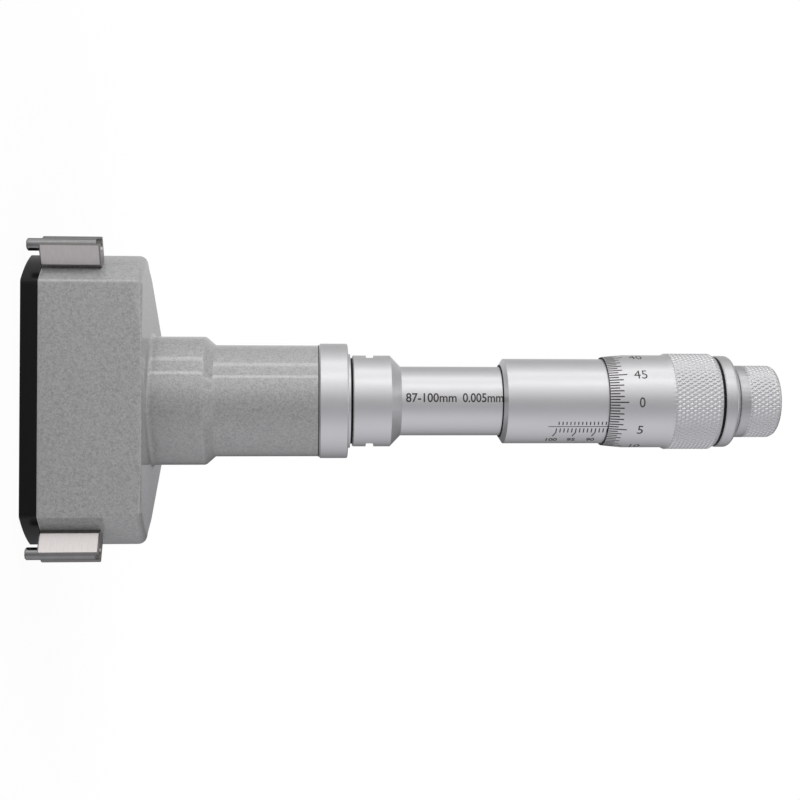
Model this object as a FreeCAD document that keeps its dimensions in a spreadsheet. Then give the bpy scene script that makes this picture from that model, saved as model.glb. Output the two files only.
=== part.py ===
import FreeCAD, Part
import math
import os

import Sketcher

# Inside micrometer with three anvils that expand together, for bores of 87 to 100 mm.
# Frame: the front cover's face lies on z = 0 and the instrument stands up from it along +Z.
# Anvil 1 points to 210 degrees, anvil 2 to 330 degrees and anvil 3 to 90 degrees, about Z.
# Lengths are millimetres. The model stands as it reads 87.045 mm.

# The driving sizes, one row of the sheet each
DIMENSIONS = {
    # measuring head and its cover
    "cover_thickness": 4.0,
    "head_depth": 24.2,
    "flat_apothem": 24.7,
    "head_diameter": 73.0,
    "corner_fillet": 2.8,
    "rear_fillet": 2.2,
    "cavity_radius": 13.5,
    "cavity_depth": 23.2,
    "channel_end": 29.0,
    "cover_screw_radius": 19.4,
    "cover_screw_diameter": 3.0,
    "cover_screw_head": 5.6,
    "cover_screw_reach": 6.0,
    "cover_screw_socket": 2.0,
    # neck of the head
    "shoulder_diameter": 32.4,
    "shoulder_length": 13.1,
    "shoulder_fillet": 1.2,
    "neck_diameter": 28.2,
    "neck_taper_length": 2.4,
    "neck_length": 25.85,
    "neck_bore": 22.0,
    "neck_bore_depth": 25.5,
    "bush_diameter": 13.0,
    "bush_length": 15.0,
    # ring and slotted coupling between neck and tube
    "ring_overhang": 0.475,
    "ring_length": 7.3,
    "ring_chamfer": 0.5,
    "ring_rear_chamfer": 0.25,
    "ring_spigot_length": 9.5,
    "ring_counterbore_depth": 6.0,
    "collar_wall": 3.15,
    "collar_length": 0.65,
    "coupling_gap": 0.6,
    "coupling_wall": 2.8,
    "coupling_length": 9.55,
    "coupling_bevel_length": 2.65,
    "coupling_spigot_wall": 1.2,
    "spanner_slot_start": 3.4,
    "spanner_slot_width": 2.1,
    "spanner_slot_depth": 0.8,
    # tube
    "tube_diameter": 17.6,
    "tube_front_step": 0.8,
    "tube_bore": 10.4,
    "guide_bore_length": 16.0,
    "nut_overhang": 1.5,
    "nut_length": 23.5,
    "nut_neck_length": 13.5,
    "nut_neck_step": 1.8,
    "nut_slit_width": 1.0,
    "adjuster_gap": 0.2,
    "adjuster_length": 8.0,
    # graduated sleeve
    "sleeve_start": 115.9,
    "sleeve_wall": 2.06,
    "sleeve_length": 34.1,
    "sleeve_chamfer_length": 0.9,
    "sleeve_lip": 0.35,
    # thimble
    "thimble_start": 142.065,
    "thimble_edge_diameter": 22.8,
    "thimble_taper_length": 5.6,
    "thimble_diameter": 23.85,
    "thimble_plain_length": 10.7,
    "grip_diameter": 24.74,
    "grip_step": 0.5,
    "grip_length": 11.4,
    "grip_chamfer_length": 1.06,
    "grip_end_diameter": 23.3,
    "thimble_bore_depth": 23.4,
    # end cap with its seal
    "seal_thickness": 0.72,
    "seal_diameter": 23.1,
    "cap_diameter": 23.66,
    "cap_plain_length": 3.05,
    "cap_bevel_length": 1.25,
    "cap_end_diameter": 18.9,
    "cap_fillet": 1.3,
    # spindle with its thread of 0.5 mm pitch
    "spindle_diameter": 8.0,
    "thread_diameter": 9.0,
    "thread_start": 124.0,
    "seat_diameter": 11.0,
    "seat_end_diameter": 9.6,
    "stud_diameter": 8.0,
    "stud_length": 4.6,
    # ratchet at the rear
    "knob_gap": 0.2,
    "knob_diameter": 18.62,
    "knob_length": 11.05,
    "knob_fillet": 1.9,
    "knob_chamber_diameter": 13.4,
    "knob_chamber_depth": 6.2,
    "hub_diameter": 7.0,
    "hub_flats": 5.6,
    "hub_length": 5.6,
    "pawl_thickness": 2.6,
    "pawl_side_gap": 0.3,
    "tooth_inner_radius": 4.1,
    "tooth_height": 0.7,
    "tooth_width": 1.7,
    "ratchet_screw_diameter": 4.0,
    "ratchet_screw_head": 7.6,
    "ratchet_screw_head_length": 2.2,
    "ratchet_screw_reach": 12.9,
    "screw_head_recess": 0.9,
    "screw_head_gap": 0.2,
    "screw_slot_width": 1.0,
    # cone, push rod and ball
    "cone_start": 17.5,
    "cone_tip_radius": 8.2,
    "cone_length": 9.0,
    "cone_screw_diameter": 4.0,
    "cone_screw_head": 7.0,
    "cone_screw_head_length": 3.0,
    "cone_screw_reach": 8.0,
    "rod_diameter": 8.0,
    "rod_length": 63.5,
    "rod_nose_diameter": 6.0,
    "rod_nose_length": 3.0,
    "ball_diameter": 5.0,
    "ball_socket_depth": 2.0,
    # anvils, all three alike
    "contact_radius": 43.5225,
    "pin_diameter": 3.0,
    "pin_start": 0.8,
    "pin_length": 16.2,
    "pin_chamfer": 0.3,
    "pin_proud": 0.5,
    "bar_start": 3.95,
    "bar_length": 14.15,
    "bar_width": 5.6,
    "bar_foot_width": 3.4,
    "bar_foot_height": 1.6,
    "bar_chamfer": 0.3,
    "bar_nose_fillet": 0.45,
    "stem_diameter": 5.5,
    "stem_hole_gap": 0.2,
    "spigot_diameter": 3.2,
    "spigot_length": 3.2,
    "shoe_start": 8.0,
    "shoe_length": 13.0,
    "shoe_width": 10.0,
    "shoe_outer_radius": 16.5,
    "guide_bush_diameter": 9.0,
    "guide_bush_length": 5.2,
    "spring_wire": 0.6,
    "spring_diameter": 7.2,
    "ratchet_spring_wire": 0.7,
    "ratchet_spring_diameter": 9.6,
    # small edges and clearances
    "small_chamfer": 0.25,
    "fit_clearance": 0.02,
    "running_clearance": 0.04,
    "sliding_clearance": 0.05,
    "seat_clearance": 0.05,
    "face_clearance": 0.03,
}

# Radial travel of the anvils for each millimetre of the cone's travel
CONE_SLOPE = 0.5
ANVILS = 3
FIRST_ANVIL_ANGLE = 210.0
RATCHET_TEETH = 12
COVER_SCREWS = 3
NUT_SLITS = 3
# Turns of the springs, sections in each turn and corners of the wire's section
RETURN_SPRING_TURNS = 6
RATCHET_SPRING_TURNS = 2
COIL_STEPS = 12
WIRE_CORNERS = 6
# How far a cutting outline reaches past the piece that it cuts
OVERCUT = 1.0

doc = FreeCAD.newDocument("inside_micrometer")
sheet = doc.addObject("Spreadsheet::Sheet", "Sizes")
for row, (alias, number) in enumerate(DIMENSIONS.items(), start=1):
    sheet.set(f"A{row}", alias)
    sheet.set(f"B{row}", str(number))
    sheet.setAlias(f"B{row}", alias)
doc.recompute()


class Size:
    """A length with its value now and the expression that the document keeps for it."""

    def __init__(self, value, text):
        self.value = value
        self.text = text

    def join(self, other, sign, turned=False):
        other = other if isinstance(other, Size) else Size(float(other), repr(float(other)))
        left, right = (other, self) if turned else (self, other)
        results = {
            "+": left.value + right.value,
            "-": left.value - right.value,
            "*": left.value * right.value,
        }
        value = left.value / right.value if sign == "/" else results[sign]
        return Size(value, f"({left.text} {sign} {right.text})")

    def __add__(self, other):
        return self.join(other, "+")

    def __radd__(self, other):
        return self.join(other, "+", True)

    def __sub__(self, other):
        return self.join(other, "-")

    def __rsub__(self, other):
        return self.join(other, "-", True)

    def __mul__(self, other):
        return self.join(other, "*")

    def __rmul__(self, other):
        return self.join(other, "*", True)

    def __truediv__(self, other):
        return self.join(other, "/")

    def __neg__(self):
        return 0 - self


class SheetSizes:
    """Gives each row of the sheet as a Size, by its alias."""

    def __getattr__(self, alias):
        return Size(DIMENSIONS[alias], f"Sizes.{alias}")


s = SheetSizes()
ZERO = Size(0.0, "0.0")
# Two places closer than this are the same place
NEAR = 1e-4
subparts = []


def bind(feature, prop, size):
    """Ties one property of a feature to the sheet."""
    feature.setExpression(prop, size.text)


def new_body(label, placement=None):
    """Starts one sub-part."""
    body = doc.addObject("PartDesign::Body", label)
    body.Label = label
    body.Placement = placement or FreeCAD.Placement()
    subparts.append(body)
    return body


def origin_feature(body, role):
    """Finds a plane or an axis of the body's own origin."""
    return next(item for item in body.Origin.OriginFeatures if item.Role == role)


def sketch_on(body, plane, name, offset=None):
    """Starts a sketch on an origin plane, moved along the plane's normal by the offset."""
    sketch = body.newObject("Sketcher::SketchObject", name)
    sketch.AttachmentSupport = [(origin_feature(body, plane), "")]
    sketch.MapMode = "FlatFace"
    if offset is not None:
        bind(sketch, "AttachmentOffset.Base.z", offset)
    return sketch


def outline(sketch, points):
    """Draws a closed outline whose corners are tied to the sheet."""
    first = sketch.GeometryCount
    corners = [FreeCAD.Vector(x.value, y.value, 0) for x, y in points]
    count = len(corners)
    lines = [Part.LineSegment(corners[i], corners[(i + 1) % count]) for i in range(count)]
    sketch.addGeometry(lines, False)
    joins = [
        Sketcher.Constraint("Coincident", first + i, 2, first + (i + 1) % count, 1)
        for i in range(count)
    ]
    sketch.addConstraint(joins)
    for i, (x, y) in enumerate(points):
        for kind, size in (("DistanceX", x), ("DistanceY", y)):
            index = sketch.addConstraint(Sketcher.Constraint(kind, -1, 1, first + i, 1, size.value))
            sketch.setExpression(f"Constraints[{index}]", size.text)


def circle(sketch, x, y, radius):
    """Draws a circle whose centre and radius are tied to the sheet."""
    centre = FreeCAD.Vector(x.value, y.value, 0)
    item = sketch.addGeometry(Part.Circle(centre, FreeCAD.Vector(0, 0, 1), radius.value), False)
    for kind, size in (("DistanceX", x), ("DistanceY", y)):
        index = sketch.addConstraint(Sketcher.Constraint(kind, -1, 1, item, 3, size.value))
        sketch.setExpression(f"Constraints[{index}]", size.text)
    index = sketch.addConstraint(Sketcher.Constraint("Radius", item, radius.value))
    sketch.setExpression(f"Constraints[{index}]", radius.text)


def revolve(body, name, points, kind="Revolution"):
    """Turns an outline of radius and height once round the body's Z axis."""
    sketch = sketch_on(body, "XZ_Plane", f"{name}_outline")
    outline(sketch, points)
    feature = body.newObject(f"PartDesign::{kind}", name)
    feature.Profile = sketch
    feature.ReferenceAxis = (sketch, ["V_Axis"])
    feature.Angle = 360.0
    doc.recompute()
    return feature


def turned(label, points, placement=None):
    """Makes a turned sub-part."""
    body = new_body(label, placement)
    revolve(body, f"{label}_turning", points)
    return body


def extrude(body, name, sketch, length, kind="Pad", both_ways=False, backwards=False):
    """Pads or pockets a sketch by a length."""
    feature = body.newObject(f"PartDesign::{kind}", name)
    feature.Profile = sketch
    if both_ways:
        feature.SideType = "Symmetric"
    feature.Reversed = backwards
    bind(feature, "Length", length)
    doc.recompute()
    return feature


def repeat(body, name, features, count):
    """Repeats features evenly round the body's Z axis."""
    pattern = body.newObject("PartDesign::PolarPattern", name)
    pattern.Originals = features
    pattern.Axis = (origin_feature(body, "Z_Axis"), [""])
    pattern.Angle = 360.0
    pattern.Occurrences = count
    body.Tip = pattern
    doc.recompute()
    return pattern


def edge_names(feature, wanted):
    """Names the edges of a feature that pass a test of their two end points."""
    names = []
    for number, edge in enumerate(feature.Shape.Edges, start=1):
        ends = [vertex.Point for vertex in edge.Vertexes]
        if len(ends) == 2 and wanted(*ends):
            names.append(f"Edge{number}")
    return names


def edges_at(feature, height, radius=None):
    """Names the edges of a feature that lie at one height, and at one radius where it is given."""
    names = []
    for number, edge in enumerate(feature.Shape.Edges, start=1):
        points = [vertex.Point for vertex in edge.Vertexes]
        level = all(abs(point.z - height.value) < NEAR for point in points)
        ring = radius is None or all(
            abs(math.hypot(point.x, point.y) - radius.value) < NEAR for point in points
        )
        if level and ring:
            names.append(f"Edge{number}")
    return names


def dress(body, name, base, edges, size, kind="Fillet"):
    """Fillets or chamfers the named edges of the last feature."""
    feature = body.newObject(f"PartDesign::{kind}", name)
    feature.Base = (base, edges)
    bind(feature, "Radius" if kind == "Fillet" else "Size", size)
    doc.recompute()
    return feature


# Stations along the instrument
head_start = s.cover_thickness
head_end = head_start + s.head_depth
cavity_end = head_start + s.cavity_depth
taper_start = head_end + s.shoulder_length
neck_start = taper_start + s.neck_taper_length
neck_end = neck_start + s.neck_length
neck_bore_start = neck_end - s.neck_bore_depth
ring_end = neck_end + s.ring_length
collar_end = ring_end + s.collar_length
counterbore_start = collar_end - s.ring_counterbore_depth
coupling_start = collar_end + s.coupling_gap
bevel_start = coupling_start + s.coupling_length
coupling_end = bevel_start + s.coupling_bevel_length
tube_start = neck_end - s.ring_spigot_length
guide_end = tube_start + s.guide_bore_length
sleeve_end = s.sleeve_start + s.sleeve_length
tube_end = sleeve_end + s.nut_overhang
nut_neck_start = tube_end - s.nut_neck_length
thimble_wall = s.thimble_start + s.thimble_bore_depth
grip_start = s.thimble_start + s.thimble_taper_length + s.thimble_plain_length + s.grip_step
grip_end = grip_start + s.grip_length
thimble_end = grip_end + s.grip_chamfer_length
cap_start = thimble_end + s.seal_thickness
cap_bevel_start = cap_start + s.cap_plain_length
cap_end = cap_bevel_start + s.cap_bevel_length
knob_start = cap_end + s.knob_gap
knob_end = knob_start + s.knob_length
knob_floor = knob_start + s.knob_chamber_depth
cone_end = s.cone_start + s.cone_length
rod_end = cone_end + s.rod_length
ball_low = rod_end - s.ball_socket_depth
screw_seat = knob_end - s.screw_head_recess - s.ratchet_screw_head_length
ratchet_screw_neck = screw_seat + s.seat_clearance

# Radii of the turned pieces that sit on the tube and in the neck
tube_radius = s.tube_diameter / 2
tube_front_radius = tube_radius - s.tube_front_step
nut_neck_radius = tube_radius - s.nut_neck_step
sleeve_radius = tube_radius + s.sleeve_wall
coupling_radius = tube_radius + s.coupling_wall
coupling_spigot_radius = tube_radius + s.coupling_spigot_wall
ring_radius = s.neck_diameter / 2 + s.ring_overhang
collar_radius = tube_radius + s.collar_wall

# Places that the three anvils share: heights along Z, radii from Z
stem_height = s.bar_start + s.bar_length / 2
pin_radius = s.contact_radius - s.pin_diameter / 2
bar_face = s.contact_radius - s.pin_proud
head_radius = s.head_diameter / 2
bar_foot = head_radius + s.seat_clearance
guide_bush_end = s.channel_end + s.guide_bush_length


def half(size):
    """Gives a radius from a diameter."""
    return size / 2


def upright(a, b):
    """Tells whether an edge runs along Z."""
    return abs(a.x - b.x) < NEAR and abs(a.y - b.y) < NEAR and abs(a.z - b.z) > NEAR


def outer_corner(a, b):
    """Tells whether an edge is one of the head's six long corners."""
    return upright(a, b) and math.hypot(a.x, a.y) > head_radius.value - NEAR


def three_flat_disc(body, name, height, start=None):
    """Makes a disc with three flats between the anvils and rounded corners."""
    sketch = sketch_on(body, "XY_Plane", f"{name}_outline", start)
    circle(sketch, ZERO, ZERO, head_radius)
    disc = extrude(body, f"{name}_disc", sketch, height)
    sketch = sketch_on(body, "XY_Plane", f"{name}_flat_outline", start)
    outline(sketch, [
        (-head_radius, -head_radius),
        (head_radius, -head_radius),
        (head_radius, -s.flat_apothem),
        (-head_radius, -s.flat_apothem),
    ])
    flat = extrude(body, f"{name}_flat", sketch, height, "Pocket", backwards=True)
    flats = repeat(body, f"{name}_flats", [flat], ANVILS)
    return dress(body, f"{name}_corners", flats, edge_names(flats, outer_corner), s.corner_fillet)


def make_head_body():
    """Makes the painted head with its neck, the inner cavity and the anvils' channels."""
    body = new_body("head_body")
    corners = three_flat_disc(body, "head", s.head_depth, head_start)
    dress(body, "head_rear_edge", corners, edges_at(corners, head_end), s.rear_fillet)
    neck = half(s.neck_diameter)
    shoulder = half(s.shoulder_diameter)
    turning = revolve(body, "head_neck", [
        (ZERO, head_end - s.rear_fillet),
        (shoulder, head_end - s.rear_fillet),
        (shoulder, taper_start),
        (neck, neck_start),
        (neck, neck_end),
        (ZERO, neck_end),
    ])
    dress(body, "shoulder", turning, edges_at(turning, taper_start, shoulder), s.shoulder_fillet)
    revolve(body, "head_bores", [
        (ZERO, head_start),
        (s.cavity_radius, head_start),
        (s.cavity_radius, cavity_end),
        (half(s.bush_diameter), cavity_end),
        (half(s.bush_diameter), neck_bore_start),
        (half(s.neck_bore), neck_bore_start),
        (half(s.neck_bore), neck_end),
        (ZERO, neck_end),
    ], "Groove")
    channel_half = half(s.shoe_width) + s.sliding_clearance
    sketch = sketch_on(body, "XY_Plane", "channel_outline", head_start)
    outline(sketch, [
        (-channel_half, ZERO),
        (channel_half, ZERO),
        (channel_half, s.channel_end),
        (-channel_half, s.channel_end),
    ])
    depth = s.shoe_start + s.shoe_length + s.sliding_clearance - head_start
    channel = extrude(body, "channel", sketch, depth, "Pocket", backwards=True)
    repeat(body, "channels", [channel], ANVILS)
    for name, radius, reach in (
        ("bush_hole", half(s.guide_bush_diameter), guide_bush_end),
        ("stem_hole", half(s.stem_diameter) + s.stem_hole_gap, head_radius + OVERCUT),
    ):
        sketch = sketch_on(body, "XZ_Plane", f"{name}_outline")
        circle(sketch, ZERO, stem_height, radius)
        hole = extrude(body, name, sketch, reach, "Pocket")
        repeat(body, f"{name}s", [hole], ANVILS)
    sketch = sketch_on(body, "XY_Plane", "screw_hole_outline", head_start)
    circle(sketch, ZERO, -s.cover_screw_radius, half(s.cover_screw_diameter))
    depth = s.cover_screw_reach + OVERCUT
    hole = extrude(body, "screw_hole", sketch, depth, "Pocket", backwards=True)
    repeat(body, "screw_holes", [hole], COVER_SCREWS)


def make_front_cover():
    """Makes the black cover plate with its countersunk holes."""
    body = new_body("front_cover")
    three_flat_disc(body, "cover", s.cover_thickness)
    countersink = body.newObject("PartDesign::SubtractiveCone", "cover_countersink")
    bind(countersink, "Radius1", half(s.cover_screw_head) + s.sliding_clearance)
    bind(countersink, "Radius2", half(s.cover_screw_diameter) + s.sliding_clearance)
    bind(countersink, "Height", half(s.cover_screw_head) - half(s.cover_screw_diameter))
    countersink.AttachmentSupport = [(origin_feature(body, "XY_Plane"), "")]
    countersink.MapMode = "FlatFace"
    bind(countersink, "AttachmentOffset.Base.y", -s.cover_screw_radius)
    doc.recompute()
    sketch = sketch_on(body, "XY_Plane", "cover_hole_outline")
    circle(sketch, ZERO, -s.cover_screw_radius, half(s.cover_screw_diameter) + s.sliding_clearance)
    hole = extrude(body, "cover_hole", sketch, s.cover_thickness, "Pocket", backwards=True)
    repeat(body, "cover_holes", [countersink, hole], COVER_SCREWS)


def make_cover_screws():
    """Makes the three countersunk screws of the cover."""
    body = new_body("cover_screws")
    body.AllowCompound = True
    head_height = half(s.cover_screw_head) - half(s.cover_screw_diameter)
    screw_length = s.cover_thickness + s.cover_screw_reach
    parts = []
    for kind, name in (("AdditiveCone", "screw_head"), ("AdditiveCylinder", "screw_shank")):
        piece = body.newObject(f"PartDesign::{kind}", name)
        piece.AttachmentSupport = [(origin_feature(body, "XY_Plane"), "")]
        piece.MapMode = "FlatFace"
        bind(piece, "AttachmentOffset.Base.y", -s.cover_screw_radius)
        parts.append(piece)
    screw_head, shank = parts
    bind(screw_head, "Radius1", half(s.cover_screw_head))
    bind(screw_head, "Radius2", half(s.cover_screw_diameter))
    bind(screw_head, "Height", head_height)
    bind(shank, "Radius", half(s.cover_screw_diameter))
    bind(shank, "Height", screw_length)
    doc.recompute()
    socket = hex_pocket(body, "screw_socket", ZERO, -s.cover_screw_radius, s.cover_screw_socket, head_height)
    repeat(body, "screws", [screw_head, shank, socket], COVER_SCREWS)


def hex_pocket(body, name, x, y, flats, depth, offset=None, backwards=True):
    """Cuts a hexagonal socket."""
    sketch = sketch_on(body, "XY_Plane", f"{name}_outline", offset)
    corner = flats / math.sqrt(3.0)
    angles = [math.radians(60.0 * i) for i in range(6)]
    outline(sketch, [(x + corner * math.cos(a), y + corner * math.sin(a)) for a in angles])
    return extrude(body, name, sketch, depth, "Pocket", backwards=backwards)


def make_neck_bush():
    """Makes the bush that guides the push rod behind the head."""
    start = cavity_end + s.face_clearance
    bore = half(s.rod_diameter) + s.running_clearance
    outer = half(s.bush_diameter) - s.fit_clearance
    turned("neck_bush", [
        (bore + s.small_chamfer, start),
        (outer, start),
        (outer, start + s.bush_length),
        (bore, start + s.bush_length),
        (bore, start + s.small_chamfer),
    ])


def make_neck_ring():
    """Makes the plain ring that closes the neck and holds the tube."""
    bore = tube_front_radius + s.fit_clearance
    spigot = half(s.neck_bore) - s.fit_clearance
    outer = ring_radius
    counterbore = coupling_spigot_radius + s.fit_clearance
    turned("neck_ring", [
        (bore, tube_start),
        (spigot, tube_start),
        (spigot, neck_end),
        (outer - s.ring_chamfer, neck_end),
        (outer, neck_end + s.ring_chamfer),
        (outer, ring_end - s.ring_rear_chamfer),
        (outer - s.ring_rear_chamfer, ring_end),
        (collar_radius, ring_end),
        (collar_radius, collar_end),
        (counterbore, collar_end),
        (counterbore, counterbore_start),
        (bore, counterbore_start),
    ])


def make_coupling_ring():
    """Makes the coupling ring with its two spanner slots and rear bevel."""
    bore = tube_radius + s.fit_clearance
    outer = coupling_radius
    spigot_start = counterbore_start + s.seat_clearance
    body = turned("coupling_ring", [
        (bore, spigot_start),
        (coupling_spigot_radius, spigot_start),
        (coupling_spigot_radius, coupling_start),
        (outer - s.small_chamfer, coupling_start),
        (outer, coupling_start + s.small_chamfer),
        (outer, bevel_start),
        (bore + s.fit_clearance, coupling_end),
        (bore, coupling_end),
    ])
    slot_floor = outer - s.spanner_slot_depth
    sketch = sketch_on(body, "XZ_Plane", "spanner_slot_outline")
    slot_low = coupling_start + s.spanner_slot_start
    slot_high = slot_low + s.spanner_slot_width
    outline(sketch, [
        (slot_floor, slot_low),
        (outer + OVERCUT, slot_low),
        (outer + OVERCUT, slot_high),
        (slot_floor, slot_high),
    ])
    slot = extrude(body, "spanner_slot", sketch, coupling_radius * 2, "Pocket", both_ways=True)
    repeat(body, "spanner_slots", [slot], 2)


def make_barrel_tube():
    """Makes the tube with the rod's guide bore in front and the slit spindle nut at the rear."""
    outer = tube_radius
    thread = half(s.thread_diameter) + s.running_clearance
    nut_start = tube_end - s.nut_length
    body = turned("barrel_tube", [
        (half(s.rod_diameter) + s.running_clearance, tube_start),
        (tube_front_radius, tube_start),
        (tube_front_radius, counterbore_start),
        (outer, counterbore_start),
        (outer, nut_neck_start),
        (nut_neck_radius, nut_neck_start),
        (nut_neck_radius, tube_end),
        (thread, tube_end),
        (thread, nut_start),
        (half(s.tube_bore), nut_start),
        (half(s.tube_bore), guide_end),
        (half(s.rod_diameter) + s.running_clearance, guide_end),
    ])
    sketch = sketch_on(body, "YZ_Plane", "nut_slit_outline")
    slit = half(s.nut_slit_width)
    outline(sketch, [
        (-slit, nut_neck_start + s.nut_slit_width),
        (slit, nut_neck_start + s.nut_slit_width),
        (slit, tube_end + OVERCUT),
        (-slit, tube_end + OVERCUT),
    ])
    slit = extrude(body, "nut_slit", sketch, tube_radius, "Pocket", backwards=True)
    repeat(body, "nut_slits", [slit], NUT_SLITS)


def make_adjusting_nut():
    """Makes the nut that closes the slit end of the tube on the spindle's thread."""
    inner = nut_neck_radius + s.fit_clearance
    outer = tube_radius - s.adjuster_gap
    start = tube_end - s.small_chamfer - s.adjuster_length
    body = turned("adjusting_nut", [
        (inner, start),
        (outer, start),
        (outer, start + s.adjuster_length),
        (inner, start + s.adjuster_length),
    ])
    sketch = sketch_on(body, "YZ_Plane", "adjuster_notch_outline")
    notch = s.nut_slit_width
    outline(sketch, [
        (-notch, start + s.adjuster_length - notch),
        (notch, start + s.adjuster_length - notch),
        (notch, start + s.adjuster_length + OVERCUT),
        (-notch, start + s.adjuster_length + OVERCUT),
    ])
    notch = extrude(body, "adjuster_notch", sketch, outer + OVERCUT, "Pocket", backwards=True)
    repeat(body, "adjuster_notches", [notch], 2)


def make_graduated_sleeve():
    """Makes the sleeve that carries the main scale, slipped over the tube."""
    inner = tube_radius + s.fit_clearance
    outer = sleeve_radius
    lip = tube_radius + s.sleeve_lip
    turned("graduated_sleeve", [
        (lip, s.sleeve_start),
        (lip + s.small_chamfer, s.sleeve_start),
        (outer, s.sleeve_start + s.sleeve_chamfer_length),
        (outer, sleeve_end),
        (inner, sleeve_end),
        (inner, s.sleeve_start + s.sleeve_chamfer_length),
        (lip, s.sleeve_start + s.sleeve_chamfer_length),
    ])


def make_cone():
    """Makes the hardened cone that drives the three anvils out."""
    base_radius = s.cone_tip_radius + s.cone_length * CONE_SLOPE
    head_bore = half(s.cone_screw_head) + s.fit_clearance
    head_floor = s.cone_start + s.small_chamfer + s.cone_screw_head_length
    shank_bore = half(s.cone_screw_diameter) + s.fit_clearance
    rod_seat = half(s.rod_nose_diameter) + s.fit_clearance
    rod_seat_start = cone_end - s.rod_nose_length - s.seat_clearance
    turned("expanding_cone", [
        (head_bore, s.cone_start),
        (s.cone_tip_radius, s.cone_start),
        (base_radius, cone_end),
        (rod_seat, cone_end),
        (rod_seat, rod_seat_start),
        (shank_bore, rod_seat_start),
        (shank_bore, head_floor),
        (head_bore, head_floor),
    ])


def make_cone_screw():
    """Makes the socket screw that holds the cone on the push rod."""
    head = half(s.cone_screw_head)
    shank = half(s.cone_screw_diameter)
    start = s.cone_start + s.small_chamfer
    neck = start + s.cone_screw_head_length
    body = turned("cone_screw", [
        (ZERO, start),
        (head, start),
        (head, neck),
        (shank, neck),
        (shank, neck + s.cone_screw_reach),
        (ZERO, neck + s.cone_screw_reach),
    ])
    depth = s.cone_screw_head_length / 2
    hex_pocket(body, "cone_screw_socket", ZERO, ZERO, head, depth, start)


def make_push_rod():
    """Makes the rod that carries the cone and takes the spindle's thrust."""
    nose = half(s.rod_nose_diameter)
    outer = half(s.rod_diameter)
    nose_start = cone_end - s.rod_nose_length
    tapped = half(s.cone_screw_diameter) + s.fit_clearance
    tapped_end = s.cone_start + s.cone_screw_head_length + s.cone_screw_reach + OVERCUT
    cup = half(s.ball_diameter) + s.fit_clearance
    turned("push_rod", [
        (tapped, nose_start),
        (nose, nose_start),
        (nose, cone_end),
        (outer, cone_end),
        (outer, rod_end - s.small_chamfer),
        (outer - s.small_chamfer, rod_end),
        (cup, rod_end),
        (cup, ball_low),
        (ZERO, ball_low),
        (ZERO, tapped_end),
        (tapped, tapped_end),
    ])


def make_thrust_ball():
    """Makes the ball between the turning spindle and the push rod."""
    body = new_body("thrust_ball")
    ball = body.newObject("PartDesign::AdditiveSphere", "ball")
    bind(ball, "Radius", half(s.ball_diameter))
    bind(body, "Placement.Base.z", ball_low + half(s.ball_diameter))
    doc.recompute()


def make_spindle():
    """Makes the spindle: plain front, fine thread, tapered seat and rear stud."""
    plain = half(s.spindle_diameter)
    thread = half(s.thread_diameter)
    seat_start = thimble_wall + s.fit_clearance
    screw_hole = half(s.ratchet_screw_diameter) + s.fit_clearance
    hole_start = ratchet_screw_neck - s.ratchet_screw_reach - OVERCUT
    stud_end = thimble_end + s.stud_length
    spindle_start = ball_low + s.ball_diameter + s.face_clearance
    turned("spindle", [
        (ZERO, spindle_start),
        (plain - s.small_chamfer, spindle_start),
        (plain, spindle_start + s.small_chamfer),
        (plain, s.thread_start),
        (thread, s.thread_start + s.small_chamfer),
        (thread, seat_start - s.small_chamfer),
        (half(s.seat_diameter), seat_start),
        (half(s.seat_end_diameter), thimble_end),
        (half(s.stud_diameter), thimble_end),
        (half(s.stud_diameter), stud_end),
        (screw_hole, stud_end),
        (screw_hole, hole_start),
        (ZERO, hole_start),
    ])


def make_thimble():
    """Makes the thimble with its bevelled front edge, grip band and tapered seat."""
    bore = sleeve_radius + s.running_clearance
    plain = half(s.thimble_diameter)
    grip = half(s.grip_diameter)
    taper_end = s.thimble_start + s.thimble_taper_length
    turned("thimble", [
        (bore, s.thimble_start),
        (half(s.thimble_edge_diameter), s.thimble_start),
        (plain, taper_end),
        (plain, taper_end + s.thimble_plain_length),
        (grip, grip_start),
        (grip, grip_end),
        (half(s.grip_end_diameter), thimble_end),
        (half(s.seat_end_diameter) + s.fit_clearance, thimble_end),
        (half(s.seat_diameter) + s.fit_clearance, thimble_wall),
        (bore, thimble_wall),
    ])


def make_cap_seal():
    """Makes the black ring between thimble and end cap."""
    turned("cap_seal", [
        (half(s.seat_end_diameter) + s.fit_clearance, thimble_end),
        (half(s.seal_diameter), thimble_end),
        (half(s.seal_diameter), cap_start),
        (half(s.seat_end_diameter) + s.fit_clearance, cap_start),
    ])


def make_end_cap():
    """Makes the cap that draws the thimble on to the spindle, with the pawl's hub behind it."""
    outer = half(s.cap_diameter)
    stud_bore = half(s.stud_diameter) + s.fit_clearance
    stud_floor = thimble_end + s.stud_length + s.seat_clearance
    screw_bore = half(s.ratchet_screw_diameter) + s.sliding_clearance
    hub = half(s.hub_diameter)
    hub_end = cap_end + s.hub_length
    body = turned("end_cap", [
        (stud_bore, cap_start),
        (outer - s.small_chamfer, cap_start),
        (outer, cap_start + s.small_chamfer),
        (outer, cap_bevel_start),
        (half(s.cap_end_diameter), cap_end),
        (hub, cap_end),
        (hub, hub_end),
        (screw_bore, hub_end),
        (screw_bore, stud_floor),
        (stud_bore, stud_floor),
    ])
    sketch = sketch_on(body, "XY_Plane", "hub_flat_outline", hub_end)
    flat = half(s.hub_flats)
    far = hub + OVERCUT
    outline(sketch, [(flat, -hub), (far, -hub), (far, hub), (flat, hub)])
    flat = extrude(body, "hub_flat", sketch, s.hub_length, "Pocket")
    repeat(body, "hub_flat_pair", [flat], 2)
    rim = edges_at(body.Tip, cap_bevel_start)
    dress(body, "cap_round", body.Tip, rim, s.cap_fillet)


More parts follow.
